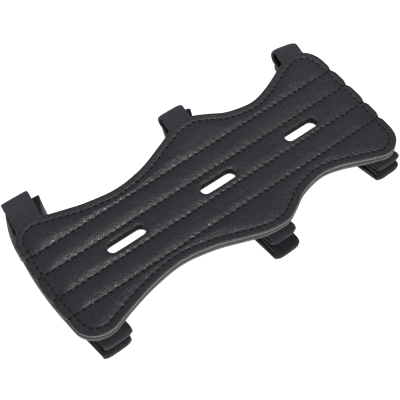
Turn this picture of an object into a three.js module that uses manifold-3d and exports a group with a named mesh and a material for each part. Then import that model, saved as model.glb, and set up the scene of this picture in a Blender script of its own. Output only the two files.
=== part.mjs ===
// Archery arm guard lying on a flat surface with its elastic straps folded under it.
// Millimetres, +X along the forearm towards the wide end, +Y towards the far long edge, +Z up.

import * as THREE from 'three';
import { mergeVertices } from 'three/addons/utils/BufferGeometryUtils.js';
import Module from 'manifold-3d';

const wasm = await Module();
wasm.setup();

// Plan of the panel, from its middle line. The slots are spaced evenly about x = 0.
const leftEnd = { x: -109, halfWidth: 40.8, cornerRadius: 13, cornerTurn: 106 };
const rightEnd = { x: 104.8, halfWidth: 43.7, cornerRadius: 15, cornerTurn: 106 };
const endBulge = 1.7;
const endSlant = { slope: 0.02, from: 70, to: 100 };    // the right end is cut a little off square
const outlineRows = [
  { place: 'left lobe flank', x: -80, halfWidth: 36 },
  { place: 'left waist start', x: -64, halfWidth: 31.5 },
  { place: 'left waist', x: -46, halfWidth: 29.3 },
  { place: 'left waist end', x: -28, halfWidth: 32.2 },
  { place: 'middle lobe rise', x: -12, halfWidth: 38.1 },
  { place: 'middle lobe shoulder', x: 0, halfWidth: 42.5 },
  { place: 'middle lobe', x: 9, halfWidth: 43.8 },
  { place: 'middle lobe corner', x: 16, halfWidth: 43.1 },
  { place: 'middle lobe fall', x: 24, halfWidth: 39.2 },
  { place: 'right waist start', x: 34, halfWidth: 34 },
  { place: 'right waist', x: 49, halfWidth: 31.2 },
  { place: 'right waist end', x: 62, halfWidth: 33.8 },
  { place: 'right lobe flank', x: 78, halfWidth: 40.3 },
];
const edgeSteps = 32;
const cornerSteps = 5;
const channelShares = [0.12, 0.5, 0.88, 1];    // rows across each channel, from one seam to the next
const backingShares = [-1, -0.6, -0.2, 0.2, 0.6, 1];
const tolerance = 1e-4;

// Sewn lines and slots
const seams = [-21.4, -7.8, 7.8, 21.4];
const stitchMargin = 4.3;
const slot = { length: 23.3, width: 6.5, pitch: 60.5, y: -0.8, curveSegments: 8 };
const slotRim = { width: 1.8, thickness: 2.4 };    // pressed flat round each slot
const backingSlotMargin = 0.8;    // the backing's slots are cut wider

// Thicknesses
const backingThickness = 2.7;
const ply = 1.3;
const gap = 0.3;
const face = { edge: 2, margin: 2.5, stitch: 2.25, seam: 2.3, crest: 3.5, narrowChannel: 10, endFade: 9 };
const endScallop = 0.5;
const edgeRound = 0.5;

// How the guard lies: its long edges ride higher than its middle, and it is twisted a little end to end
const lay = { height: 10.2, edgeLift: 3, twist: 3.3, halfLength: 110, halfWidth: 43.5 };

// Straps: each is sewn under one long edge (side -1 near, 1 far), goes out to an upper fold, back in to a
// bend, out to a lower fold and in along the surface to its end. turn is how far the whole strap leans
// towards +X, in degrees, and the shifts move its middle along its own width at each fold. Reaches are the
// folds' outermost distances from the middle line, and upperShare is how much of the height under the edge
// the upper fold takes.
const strapWidth = 16.2;
const sewnLength = 13;
const sewnGap = 0.45;
const sewnSteps = 5;
const floorPly = ply / 2;
const innerBend = { radius: 0.85, fromEdge: 12 };
const strapEnd = 19;
const foldSteps = 8;
const strapRows = [
  {
    name: 'strap_near_left', side: -1, sewnX: -95, turn: 0,
    upperReach: 44.5, lowerReach: 45.2, upperShare: 0.45,
    upperShift: 0.9, bendShift: -1.2, lowerShift: -0.7, endShift: -3.5,
  },
  {
    name: 'strap_near_middle', side: -1, sewnX: 8.4, turn: 0,
    upperReach: 48.3, lowerReach: 53.7, upperShare: 0.47,
    upperShift: 0.4, bendShift: -0.5, lowerShift: -0.6, endShift: -2.5,
  },
  {
    name: 'strap_near_right', side: -1, sewnX: 88.7, turn: 0,
    upperReach: 46.6, lowerReach: 49.2, upperShare: 0.42,
    upperShift: 0.2, bendShift: -1.2, lowerShift: -1, endShift: -4.5,
  },
  {
    name: 'strap_far_left', side: 1, sewnX: -97.3, turn: 0,
    upperReach: 62.3, lowerReach: 60.5, upperShare: 0.65,
    upperShift: 3.4, bendShift: -4, lowerShift: 8.5, endShift: 1.6,
  },
  {
    name: 'strap_far_middle', side: 1, sewnX: 6.5, turn: 0,
    upperReach: 59.8, lowerReach: 60.2, upperShare: 0.6,
    upperShift: 3, bendShift: -2.5, lowerShift: 9.5, endShift: 3.5,
  },
  {
    name: 'strap_far_right', side: 1, sewnX: 94.3, turn: 10,
    upperReach: 58.2, lowerReach: 55.5, upperShare: 0.6,
    upperShift: -0.6, bendShift: -3.6, lowerShift: 1.2, endShift: 1,
  },
];

// Hook patches on the upper side of the far straps' ends, which grip the near straps' looped weave
const patch = { width: 12, length: 22, thickness: 1.1, fromEnd: 2 };

const leather = new THREE.MeshStandardMaterial({ color: 0x2a2a2c, roughness: 0.5, metalness: 0 });
const suede = new THREE.MeshStandardMaterial({ color: 0x6e645f, roughness: 0.95, metalness: 0 });
const elastic = new THREE.MeshStandardMaterial({ color: 0x26252a, roughness: 0.9, metalness: 0 });
const hookTape = new THREE.MeshStandardMaterial({ color: 0x1d1d1f, roughness: 0.8, metalness: 0 });

// Height of the backing's underside above the surface
function underside(x, y) {
  const lift = lay.edgeLift * (y / lay.halfWidth) ** 2;
  const twist = lay.twist * (x / lay.halfLength) * (y / lay.halfWidth);
  return lay.height + lift + twist;
}

// The far edge from the left end round both corners: points with their outward directions
function farEdge() {
  const cornerArc = (end, side, from, to) => {
    const centre = new THREE.Vector2(end.x - side * end.cornerRadius, end.halfWidth - end.cornerRadius);
    return Array.from({ length: cornerSteps + 1 }, (_, i) => {
      const angle = THREE.MathUtils.degToRad(THREE.MathUtils.lerp(from, to, i / cornerSteps));
      const out = new THREE.Vector2(Math.cos(angle), Math.sin(angle));
      return { at: out.clone().multiplyScalar(end.cornerRadius).add(centre), out };
    });
  };
  const left = cornerArc(leftEnd, -1, 180, 180 - leftEnd.cornerTurn);
  const right = cornerArc(rightEnd, 1, rightEnd.cornerTurn, 0);
  const knots = outlineRows.map((row) => new THREE.Vector2(row.x, row.halfWidth));
  const curve = new THREE.SplineCurve([left[cornerSteps].at, ...knots, right[0].at]);
  const edge = [];
  for (let i = 1; i < edgeSteps; i += 1) {
    const tangent = curve.getTangentAt(i / edgeSteps);
    edge.push({ at: curve.getPointAt(i / edgeSteps), out: new THREE.Vector2(-tangent.y, tangent.x) });
  }
  return [...left, ...edge, ...right];
}

const columns = farEdge();

// Share of a channel's puff at a place across it, full in the middle and none at its seams
function puff(y, halfWidth) {
  const edges = [-halfWidth, ...seams, halfWidth];
  for (let i = 1; i < edges.length; i += 1) {
    if (y <= edges[i]) {
      const width = edges[i] - edges[i - 1];
      const across = (2 * (y - edges[i - 1])) / width - 1;
      return Math.sqrt(Math.max(0, 1 - across ** 2)) * Math.min(1, width / face.narrowChannel);
    }
  }
  return 0;
}

// Thickness of the face inside the perimeter stitch
function faceThickness(x, y, halfWidth) {
  const toEnd = Math.min(x - leftEnd.x, rightEnd.x - x) - stitchMargin;
  const full = THREE.MathUtils.smoothstep(toEnd, 0, face.endFade);
  const wall = Math.abs(y) > halfWidth - tolerance ? face.stitch : face.seam;
  return wall + (face.crest - face.seam) * full * puff(y, halfWidth);
}

// Distances across a column at which the face has rows: both stitch lines, the seams and the crowns between
function faceRows(halfWidth) {
  const rows = [-halfWidth];
  const edges = [-halfWidth, ...seams, halfWidth];
  for (let i = 1; i < edges.length; i += 1) {
    for (const share of channelShares) {
      rows.push(THREE.MathUtils.lerp(edges[i - 1], edges[i], share));
    }
  }
  return rows;
}

function backingRows(halfWidth) {
  return backingShares.map((share) => share * halfWidth);
}

function solidOf(geometry) {
  const bare = geometry.clone();
  bare.deleteAttribute('normal');
  bare.deleteAttribute('uv');
  const merged = mergeVertices(bare, tolerance);
  const vertProperties = new Float32Array(merged.attributes.position.array);
  const triVerts = new Uint32Array(merged.index.array);
  return new wasm.Manifold(new wasm.Mesh({ numProp: 3, vertProperties, triVerts }));
}

function geometryOf(positions, indices) {
  const geometry = new THREE.BufferGeometry();
  geometry.setAttribute('position', new THREE.Float32BufferAttribute(positions, 3));
  geometry.setIndex(Array.from(indices));
  geometry.computeVertexNormals();
  return geometry;
}

// A sheet cut to the outline: a grid inside the perimeter stitch, rings from there out to the cut edge,
// the same below, and a wall between. Rings are {inset, thick} rows from the stitch line to the edge.
function outlinedSheet(rowsAcross, bottom, thickness, rings) {
  const positions = [];
  const indices = [];
  const vertex = (x, y, z) => {
    const slant = endSlant.slope * y * THREE.MathUtils.smoothstep(x, endSlant.from, endSlant.to);
    return positions.push(x + slant, y, z) / 3 - 1;
  };
  const quad = (a, b, c, d) => indices.push(a, b, c, a, c, d);

  const places = columns.map((column, i) => {
    const inner = column.at.clone().addScaledVector(column.out, -stitchMargin);
    const endSign = i === 0 ? -1 : Number(i === columns.length - 1);
    return rowsAcross(inner.y).map((y) => {
      const bulge = endSign * endBulge * (1 - (y / inner.y) ** 2);
      return { x: inner.x + bulge, y, halfWidth: inner.y, endSign, out: column.out };
    });
  });
  const lastColumn = places.length - 1;
  const lastRow = places[0].length - 1;
  const top = places.map((column) =>
    column.map((p) => vertex(p.x, p.y, bottom(p.x, p.y) + thickness(p.x, p.y, p.halfWidth))));
  const under = places.map((column) => column.map((p) => vertex(p.x, p.y, bottom(p.x, p.y))));
  for (let i = 0; i < lastColumn; i += 1) {
    for (let j = 0; j < lastRow; j += 1) {
      quad(top[i][j], top[i + 1][j], top[i + 1][j + 1], top[i][j + 1]);
      quad(under[i][j], under[i][j + 1], under[i + 1][j + 1], under[i + 1][j]);
    }
  }

  // The stitch line as one loop, anticlockwise from above, with the outward direction at each place
  const loop = [];
  for (let i = 0; i < lastColumn; i += 1) loop.push([i, 0]);
  for (let j = 0; j < lastRow; j += 1) loop.push([lastColumn, j]);
  for (let i = lastColumn; i > 0; i -= 1) loop.push([i, lastRow]);
  for (let j = lastRow; j > 0; j -= 1) loop.push([0, j]);
  const outward = loop.map(([i, j]) => {
    const p = places[i][j];
    if (p.endSign !== 0) return { x: p.endSign, y: 0 };
    return { x: p.out.x, y: j === 0 ? -p.out.y : p.out.y };
  });
  const ringPlaces = (inset) => loop.map(([i, j], k) => {
    const p = places[i][j];
    const step = stitchMargin - inset;
    return { ...p, x: p.x + outward[k].x * step, y: p.y + outward[k].y * step };
  });
  const strip = (inner, outer, up) => inner.forEach((a, k) => {
    const next = (k + 1) % inner.length;
    if (up) quad(a, outer[k], outer[next], inner[next]);
    else quad(a, inner[next], outer[next], outer[k]);
  });
  let topLoop = loop.map(([i, j]) => top[i][j]);
  for (const ring of rings) {
    const ringTop = ringPlaces(ring.inset).map((p) => vertex(p.x, p.y, bottom(p.x, p.y) + ring.thick(p)));
    strip(topLoop, ringTop, true);
    topLoop = ringTop;
  }
  const underLoop = loop.map(([i, j]) => under[i][j]);
  const underEdge = ringPlaces(0).map((p) => vertex(p.x, p.y, bottom(p.x, p.y)));
  strip(underLoop, underEdge, false);
  strip(topLoop, underEdge, true);
  return geometryOf(positions, indices);
}

// A slot's outline, widened by a margin, as an upright prism from one height up
function slotPrism(place, margin, from) {
  const round = slot.width / 2 + margin;
  const straight = (slot.length - slot.width) / 2;
  const shape = new THREE.Shape();
  shape.absarc(straight, 0, round, -Math.PI / 2, Math.PI / 2);
  shape.absarc(-straight, 0, round, Math.PI / 2, (3 * Math.PI) / 2);
  const { curveSegments } = slot;
  const depth = 2 * lay.height;
  const prism = new THREE.ExtrudeGeometry(shape, { depth, bevelEnabled: false, curveSegments });
  return solidOf(prism.translate(place * slot.pitch, slot.y, from));
}

// Cuts the three slots through a sheet and, where it has rims, presses them down to a height over each slot
function cutSlots(geometry, margin, rimHeight) {
  let solid = solidOf(geometry);
  for (const place of [-1, 0, 1]) {
    solid = solid.subtract(slotPrism(place, margin, 0));
    if (rimHeight) {
      const from = rimHeight(place * slot.pitch, slot.y);
      solid = solid.subtract(slotPrism(place, slotRim.width, from));
    }
  }
  const mesh = solid.getMesh();
  return geometryOf(mesh.vertProperties, mesh.triVerts);
}

function facePanel() {
  const bottom = (x, y) => underside(x, y) + backingThickness + gap;
  const scallop = (p) => (p.endSign === 0 ? 0 : endScallop * puff(p.y, p.halfWidth));
  const rings = [
    { inset: stitchMargin / 2, thick: (p) => face.margin + scallop(p) },
    { inset: edgeRound, thick: (p) => face.margin + scallop(p) },
    { inset: 0, thick: (p) => face.edge + scallop(p) },
  ];
  const rimHeight = (x, y) => bottom(x, y) + slotRim.thickness;
  return cutSlots(outlinedSheet(faceRows, bottom, faceThickness, rings), 0, rimHeight);
}

function backing() {
  const rings = [{ inset: 0, thick: () => backingThickness }];
  const sheet = outlinedSheet(backingRows, underside, () => backingThickness, rings);
  return cutSlots(sheet, backingSlotMargin);
}

// Half width of the panel at x, read off its far edge
function halfWidthAt(x) {
  const after = columns.findIndex((column) => column.at.x >= x);
  const a = columns[after - 1].at;
  const b = columns[after].at;
  return THREE.MathUtils.lerp(a.y, b.y, (x - a.x) / (b.x - a.x));
}

// Height of a sewn ply's middle under the backing, carried on at the edge's slope beyond the edge
function sewnHeight(x, y, edge) {
  const held = THREE.MathUtils.clamp(y, -edge, edge);
  const slope = (2 * lay.edgeLift * edge) / lay.halfWidth ** 2;
  return underside(x, held) - sewnGap - ply / 2 + slope * Math.abs(y - held);
}

// Two folds, one above the other, that fill the height under one long edge
function foldStack(row) {
  const edge = halfWidthAt(row.sewnX);
  const stack = { edge, upperV: row.upperReach };
  for (let pass = 0; pass < 3; pass += 1) {
    stack.top = sewnHeight(row.sewnX + row.upperShift, row.side * stack.upperV, edge);
    const both = (stack.top - floorPly) / 2 - innerBend.radius;
    stack.upper = both * row.upperShare;
    stack.lower = both - stack.upper;
    stack.upperV = row.upperReach - stack.upper - ply / 2;
  }
  stack.lowerV = row.lowerReach - stack.lower - ply / 2;
  stack.bendV = edge - innerBend.fromEdge;
  const level = floorPly + 2 * stack.lower + innerBend.radius;
  const sewn = sewnHeight(row.sewnX, row.side * stack.bendV, edge);
  stack.bendZ = Math.min(level, sewn - ply - gap - innerBend.radius);
  return stack;
}

// The middle line of a folded strap, from its sewn end to its free end. Places are worked out as a shift
// along the strap's width, a distance v from the guard's middle line and a height, then leant by its turn.
function strapRoute(row) {
  const stack = foldStack(row);
  const turn = THREE.MathUtils.degToRad(row.turn);
  const route = [];
  const place = (shift, v, z) => {
    const out = v - stack.edge;
    const x = row.sewnX + shift * Math.cos(turn) + out * Math.sin(turn);
    const y = stack.edge - shift * Math.sin(turn) + out * Math.cos(turn);
    route.push({ x, y: row.side * y, z });
  };
  const fold = (v, z, radius, from, to, shift) => {
    for (let i = 0; i <= foldSteps; i += 1) {
      const angle = THREE.MathUtils.degToRad(THREE.MathUtils.lerp(from, to, i / foldSteps));
      place(shift, v + radius * Math.cos(angle), z + radius * Math.sin(angle));
    }
  };
  for (let i = 0; i < sewnSteps; i += 1) {
    const shift = THREE.MathUtils.lerp(0, row.upperShift, i / sewnSteps);
    const v = THREE.MathUtils.lerp(stack.edge - sewnLength, stack.upperV, i / sewnSteps);
    place(shift, v, sewnHeight(row.sewnX + shift, row.side * v, stack.edge));
  }
  fold(stack.upperV, stack.top - stack.upper, stack.upper, 90, -90, row.upperShift);
  fold(stack.bendV, stack.bendZ, innerBend.radius, 90, 270, row.bendShift);
  fold(stack.lowerV, floorPly + stack.lower, stack.lower, 90, -90, row.lowerShift);
  place(row.endShift, strapEnd, floorPly);
  return route;
}

// A flat band of one thickness along a route, its width square to the strap's turn
function band(row) {
  const route = strapRoute(row);
  const turn = THREE.MathUtils.degToRad(row.turn);
  const across = new THREE.Vector2(Math.cos(turn), -row.side * Math.sin(turn)).multiplyScalar(strapWidth / 2);
  const positions = [];
  const indices = [];
  const quad = (a, b, c, d) => indices.push(a, b, c, a, c, d);
  const last = route.length - 1;
  route.forEach((place, i) => {
    const before = route[Math.max(0, i - 1)];
    const after = route[Math.min(last, i + 1)];
    const along = new THREE.Vector2(after.y - before.y, after.z - before.z).setLength(ply / 2);
    for (const [side, skin] of [[-1, -1], [1, -1], [1, 1], [-1, 1]]) {
      positions.push(
        place.x + side * across.x, place.y + side * across.y - skin * along.y, place.z + skin * along.x);
    }
  });
  for (let i = 0; i < last; i += 1) {
    for (let k = 0; k < 4; k += 1) {
      const next = (k + 1) % 4;
      quad(4 * i + k, 4 * i + 4 + k, 4 * i + 4 + next, 4 * i + next);
    }
  }
  quad(0, 1, 2, 3);
  quad(4 * last + 3, 4 * last + 2, 4 * last + 1, 4 * last);
  return geometryOf(positions, indices);
}

function named(name, geometry, material) {
  const mesh = new THREE.Mesh(geometry, material);
  mesh.name = name;
  return mesh;
}

// A flat patch on the free end of a far strap, turned with the strap
function hookPatch(row) {
  const [before, end] = strapRoute(row).slice(-2);
  const run = new THREE.Vector2(before.x - end.x, before.y - end.y);
  const middle = run.clone().setLength(patch.fromEnd + patch.length / 2);
  const shape = new THREE.BoxGeometry(patch.width, patch.length, patch.thickness);
  const mesh = named(row.name.replace('strap_far', 'hook_patch'), shape, hookTape);
  mesh.position.set(end.x + middle.x, end.y + middle.y, ply + gap + patch.thickness / 2);
  mesh.rotation.z = run.angle() - Math.PI / 2;
  return mesh;
}

const guard = new THREE.Group();
guard.add(named('face_panel', facePanel(), leather));
guard.add(named('backing', backing(), suede));
for (const row of strapRows) {
  guard.add(named(row.name, band(row), elastic));
}
for (const row of strapRows.filter((strap) => strap.side > 0)) {
  guard.add(hookPatch(row));
}

// The origin is under the middle of the whole guard, on the surface that it lies on
const reachBox = new THREE.Box3().setFromObject(guard);
const middle = reachBox.getCenter(new THREE.Vector3());
guard.position.set(-middle.x, -middle.y, -reachBox.min.z);

export default guard;
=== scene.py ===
import math

import bmesh
import bpy
from mathutils import Matrix, Vector, noise


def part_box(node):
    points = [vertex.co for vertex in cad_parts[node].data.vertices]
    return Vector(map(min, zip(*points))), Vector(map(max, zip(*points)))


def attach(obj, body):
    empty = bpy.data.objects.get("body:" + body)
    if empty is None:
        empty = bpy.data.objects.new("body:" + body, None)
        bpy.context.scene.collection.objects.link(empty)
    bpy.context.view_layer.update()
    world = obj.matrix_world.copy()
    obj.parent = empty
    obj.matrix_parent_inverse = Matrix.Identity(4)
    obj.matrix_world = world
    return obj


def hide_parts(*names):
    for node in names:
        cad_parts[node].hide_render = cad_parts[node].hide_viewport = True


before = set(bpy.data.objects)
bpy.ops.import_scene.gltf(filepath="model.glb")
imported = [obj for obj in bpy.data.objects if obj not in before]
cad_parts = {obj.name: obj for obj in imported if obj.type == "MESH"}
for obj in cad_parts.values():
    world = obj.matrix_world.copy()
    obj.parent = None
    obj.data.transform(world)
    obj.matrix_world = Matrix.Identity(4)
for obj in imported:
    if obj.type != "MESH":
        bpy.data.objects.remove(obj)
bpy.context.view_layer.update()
mm = 0.001
print("frame loaded:", len(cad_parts), "nodes")

# Plan of the panel in millimetres from its middle line: one long edge, mirrored for the other
panel = {
    "leftEnd": -109.0,
    "leftCorner": 13.0,
    "leftTop": 40.8,
    "rightEnd": 104.8,
    "rightCorner": 15.0,
    "rightTop": 43.7,
    "cornerTurn": 106.0,
    "endBulge": 1.7,
    "bulgeRun": (4.0, 26.0),    # from the end, where the bulge is full and where it sets in
    "endSlant": (0.02, 70.0, 100.0),    # slope of the right end off square, and where it sets in
    "longEdge": [
        (-80, 36), (-64, 31.5), (-46, 29.3), (-28, 32.2), (-12, 38.1), (0, 42.5), (9, 43.8), (16, 43.1),
        (24, 39.2), (34, 34), (49, 31.2), (62, 33.8), (78, 40.3),
    ],
    "stitchInset": 4.3,
    "seams": [-21.4, -7.8, 7.8, 21.4],
    "seamDrift": 0.008,    # the seams run a little off the middle line
    "backingThickness": 2.7,
    "plyGap": 0.3,
}
slots = {
    "length": 23.3,
    "width": 6.5,
    "pitch": 60.5,
    "y": -0.8,
    "ragged": 1.5,    # how far off its outline a vertex of the first, ragged cut may lie
    "weld": 0.02,
    "eased": 2.5,    # how far round a slot the grid is smoothed
}
lay = {"height": 10.2, "edgeLift": 3.0, "twist": 3.3, "halfLength": 110.0, "halfWidth": 43.5}

panelLow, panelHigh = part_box("face_panel")
planMiddle = (panel["leftEnd"] + panel["rightEnd"]) / 2
shiftX = (panelLow[0] + panelHigh[0]) / 2 / mm - planMiddle
shiftY = (panelLow[1] + panelHigh[1]) / 2 / mm


# From the panel's own millimetres to metres in the frame
def framed(x, y, z):
    return Vector(((x + shiftX) * mm, (y + shiftY) * mm, z * mm))


# Height of the backing's underside over the surface
def underside(x, y):
    across = y / lay["halfWidth"]
    return lay["height"] + lay["edgeLift"] * across ** 2 + lay["twist"] * (x / lay["halfLength"]) * across


def smoothStep(value, low, high):
    share = min(1, max(0, (value - low) / (high - low)))
    return share * share * (3 - 2 * share)


# Like framed, for places on the panel's own layers, with the slant of its right end
def onPanel(x, y, z):
    slope, start, full = panel["endSlant"]
    return framed(x + slope * y * smoothStep(x, start, full), y, z)


# Far long edge with both its corners, as places and outward directions
def edgeColumns(edgeSteps, cornerSteps):
    leftRadius, rightRadius = panel["leftCorner"], panel["rightCorner"]
    leftCentre = Vector((panel["leftEnd"] + leftRadius, panel["leftTop"] - leftRadius))
    rightCentre = Vector((panel["rightEnd"] - rightRadius, panel["rightTop"] - rightRadius))

    def corner(centre, radius, start, end):
        arc = []
        for i in range(cornerSteps + 1):
            angle = math.radians(start + (end - start) * i / cornerSteps)
            out = Vector((math.cos(angle), math.sin(angle)))
            arc.append((centre + out * radius, out))
        return arc

    columns = corner(leftCentre, leftRadius, 180, 180 - panel["cornerTurn"])
    rightArc = corner(rightCentre, rightRadius, panel["cornerTurn"], 0)
    knots = [columns[-1][0]] + [Vector(row) for row in panel["longEdge"]] + [rightArc[0][0]]
    knotSteps = 40
    fine = []
    for i in range(len(knots) - 1):
        a, b, c, d = (knots[min(len(knots) - 1, max(0, i + k))] for k in (-1, 0, 1, 2))
        for step in range(knotSteps):
            t = step / knotSteps
            curl = (2 * a - 5 * b + 4 * c - d) * t ** 2 + (3 * b - a - 3 * c + d) * t ** 3
            fine.append((2 * b + (c - a) * t + curl) / 2)
    fine.append(knots[-1])
    runs = [0.0]
    for a, b in zip(fine, fine[1:]):
        runs.append(runs[-1] + (b - a).length)
    spot = 0
    for i in range(1, edgeSteps):
        want = runs[-1] * i / edgeSteps
        while runs[spot + 1] < want:
            spot += 1
        along = (fine[spot + 1] - fine[spot]).normalized()
        columns.append((fine[spot] + along * (want - runs[spot]), Vector((-along.y, along.x))))
    return columns + rightArc


stitch = {
    "length": 3.0,
    "pitch": 3.9,
    "thickness": 0.95,
    "proud": 0.24,
    "sink": 0.3,    # how far its ends dive into the leather
    "turns": 2.2,    # half turns of its two strands about each other
    "swing": 0.2,    # of the thickness, a strand's distance from the middle
    "strand": 0.3,    # of the thickness, a strand's radius
    "grid": (6, 4),    # steps along and round a strand
    "backSink": 0.05,    # how far into the suede the back's stitches lie
    "overrun": 0.6,    # how far the seams run past the ends of the panel
}


# Pull of the thread along a sewn line: full at the middle of a stitch and none between two
def stitchPull(run):
    return 0.5 - 0.5 * math.cos(2 * math.pi * run / stitch["pitch"])


seamStart = panel["leftEnd"] - stitch["overrun"]


def seamAt(index, x):
    return panel["seams"][index] + panel["seamDrift"] * x


# Distance to the nearest slot's cut edge, below nought inside it, with the nearest place on that edge
def slotEdge(x, y, margin=0.0):
    radius = slots["width"] / 2 + margin
    straight = (slots["length"] - slots["width"]) / 2
    place = min((-1, 0, 1), key=lambda p: abs(x - p * slots["pitch"]))
    middle = place * slots["pitch"]
    core = Vector((middle + min(straight, max(-straight, x - middle)), slots["y"]))
    out = Vector((x, y)) - core
    nearest = core + (out.normalized() if out.length > 1e-6 else Vector((0, 1))) * radius
    return out.length - radius, nearest


# Shader nodes written as expressions
class Wire:
    def __init__(self, tree, socket=None):
        self.tree = tree
        self.socket = socket

    def node(self, kind, settings=None, inputs=None, output=0):
        made = self.tree.nodes.new(kind)
        for name, value in (settings or {}).items():
            if name == "stops":
                ramp = made.color_ramp
                while len(ramp.elements) < len(value):
                    ramp.elements.new(0.5)
                for element, (position, shade) in zip(ramp.elements, value):
                    element.position = position
                    element.color = (shade, shade, shade, 1)
            else:
                setattr(made, name, value)
        for name, value in (inputs or {}).items():
            if isinstance(value, Wire):
                self.tree.links.new(value.socket, made.inputs[name])
            else:
                made.inputs[name].default_value = value
        return Wire(self.tree, made.outputs[output] if made.outputs else None)

    def sums(self, operation, first, second):
        return self.node("ShaderNodeMath", {"operation": operation}, {0: first, 1: second})

    def __add__(self, other):
        return self.sums("ADD", self, other)

    def __radd__(self, other):
        return self.sums("ADD", other, self)

    def __sub__(self, other):
        return self.sums("SUBTRACT", self, other)

    def __rsub__(self, other):
        return self.sums("SUBTRACT", other, self)

    def __mul__(self, other):
        return self.sums("MULTIPLY", self, other)

    def __rmul__(self, other):
        return self.sums("MULTIPLY", other, self)

    def ramp(self, *stops):
        return self.node("ShaderNodeValToRGB", {"stops": stops}, {0: self})

    def tint(self, low, high):
        settings = {"data_type": "RGBA", "clamp_factor": True}
        return self.node("ShaderNodeMix", settings, {0: self, 6: low, 7: high}, output=2)


def newFinish(name):
    material = bpy.data.materials.new(name)
    material.use_nodes = True
    material.node_tree.nodes.clear()
    return material, Wire(material.node_tree)


# Closes a finish: colour, roughness and a bump from a height in millimetres
def closeFinish(wire, colour, roughness, height, strength, constants):
    bump = wire.node("ShaderNodeBump", {}, {"Strength": strength, "Distance": mm, "Height": height})
    values = {"Base Color": colour, "Roughness": roughness, "Normal": bump}
    values.update(constants)
    shader = wire.node("ShaderNodeBsdfPrincipled", {}, values)
    wire.node("ShaderNodeOutputMaterial", {}, {"Surface": shader})


def spots(wire, coords, scale, detail=3.0, rough=0.55):
    return wire.node(
        "ShaderNodeTexNoise", {}, {"Vector": coords, "Scale": scale, "Detail": detail, "Roughness": rough})


# Coordinates pushed about a little by noise, so that no cell or thread is ruler straight
def loosened(wire, coords, scale, amount):
    push = wire.node("ShaderNodeTexNoise", {}, {"Vector": coords, "Scale": scale, "Detail": 2.0}, output=1)
    centred = wire.node("ShaderNodeVectorMath", {"operation": "SUBTRACT"}, {0: push, 1: (0.5, 0.5, 0.5)})
    scaled = wire.node("ShaderNodeVectorMath", {"operation": "SCALE"}, {0: centred, "Scale": amount})
    return wire.node("ShaderNodeVectorMath", {"operation": "ADD"}, {0: coords, 1: scaled})


leatherLook = {
    "pebble": 1.15,    # mm across one grain of the leather
    "crease": (0.009, 0.0092, 0.0115, 1),
    "grain": (0.0222, 0.0231, 0.0298, 1),
    "scuff": (0.030, 0.0305, 0.035, 1),
    "roughness": 0.25,
}


def leatherFinish():
    material, wire = newFinish("pebbledLeather")
    coords = wire.node("ShaderNodeTexCoord", output=3)
    loose = loosened(wire, coords, 800.0, 0.0006)
    scale = 1 / (leatherLook["pebble"] * mm)
    toEdge = wire.node(
        "ShaderNodeTexVoronoi", {"feature": "DISTANCE_TO_EDGE"}, {"Vector": loose, "Scale": scale})
    dome = wire.node("ShaderNodeTexVoronoi", {"feature": "F1"}, {"Vector": loose, "Scale": scale})
    eachGrain = wire.node("ShaderNodeSeparateXYZ", {}, {0: Wire(wire.tree, dome.socket.node.outputs[1])})
    pebble = toEdge.ramp((0.0, 0.0), (0.1, 0.7), (0.3, 1.0))
    crown = dome.ramp((0.0, 1.0), (0.75, 0.0))
    fine = spots(wire, coords, 2600.0)
    worn = spots(wire, coords, 34.0, 5.0).ramp((0.42, 0.0), (0.7, 1.0))
    broad = spots(wire, coords, 240.0, 4.0)
    height = pebble * 0.035 + crown * (0.066 + eachGrain * 0.058) + fine * 0.02 + broad * 0.07
    colour = pebble.tint(leatherLook["crease"], leatherLook["grain"])
    colour = (worn * pebble * 0.5).tint(colour, leatherLook["scuff"])
    roughness = leatherLook["roughness"] + (1 - pebble) * 0.25 + eachGrain * 0.22 - worn * 0.04
    closeFinish(wire, colour, roughness, height, 0.85, {"Specular IOR Level": 0.45})
    return material


cutEdgeLook = {
    "padding": (0.03, 0.0295, 0.029, 1),
    "low": (0.12, 0.117, 0.114, 1),
    "high": (0.28, 0.272, 0.266, 1),
    "split": ((0.42, 0.0), (0.54, 1.0)),    # where up the edge the padding gives way to leather
}


# Raw cut side of the face: pale leather fibres over the dark padding
def cutEdgeFinish():
    material, wire = newFinish("cutLeatherEdge")
    coords = wire.node("ShaderNodeTexCoord", output=3)
    flat = wire.node("ShaderNodeMapping", {}, {"Vector": coords, "Scale": (1, 1, 3.5)})
    fibres = spots(wire, flat, 1500.0, 5.0, 0.7)
    patches = spots(wire, coords, 160.0)
    shade = fibres * 0.7 + patches * 0.3
    rise = wire.node("ShaderNodeAttribute", {"attribute_name": "rise"}, output=2)
    pale = shade.ramp((0.3, 0.0), (0.75, 1.0)).tint(cutEdgeLook["low"], cutEdgeLook["high"])
    colour = (rise + shade * 0.16).ramp(*cutEdgeLook["split"]).tint(cutEdgeLook["padding"], pale)
    closeFinish(wire, colour, 0.78 + fibres * 0.15, fibres * 0.12, 0.8, {})
    return material


suedeLook = {"low": (0.04, 0.037, 0.036, 1), "high": (0.127, 0.117, 0.112, 1)}


def suedeFinish():
    material, wire = newFinish("suedeBacking")
    coords = wire.node("ShaderNodeTexCoord", output=3)
    nap = spots(wire, loosened(wire, coords, 300.0, 0.002), 1300.0, 6.0, 0.72)
    fibres = spots(wire, coords, 4800.0, 4.0, 0.7)
    brushed = spots(wire, coords, 60.0, 4.0)
    shade = nap * 0.4 + fibres * 0.3 + brushed * 0.3
    colour = shade.ramp((0.36, 0.0), (0.64, 1.0)).tint(suedeLook["low"], suedeLook["high"])
    closeFinish(wire, colour, 0.9 + nap * 0.1, nap * 0.2 + fibres * 0.08, 0.9, {"Sheen Weight": 0.15})
    return material


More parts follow.
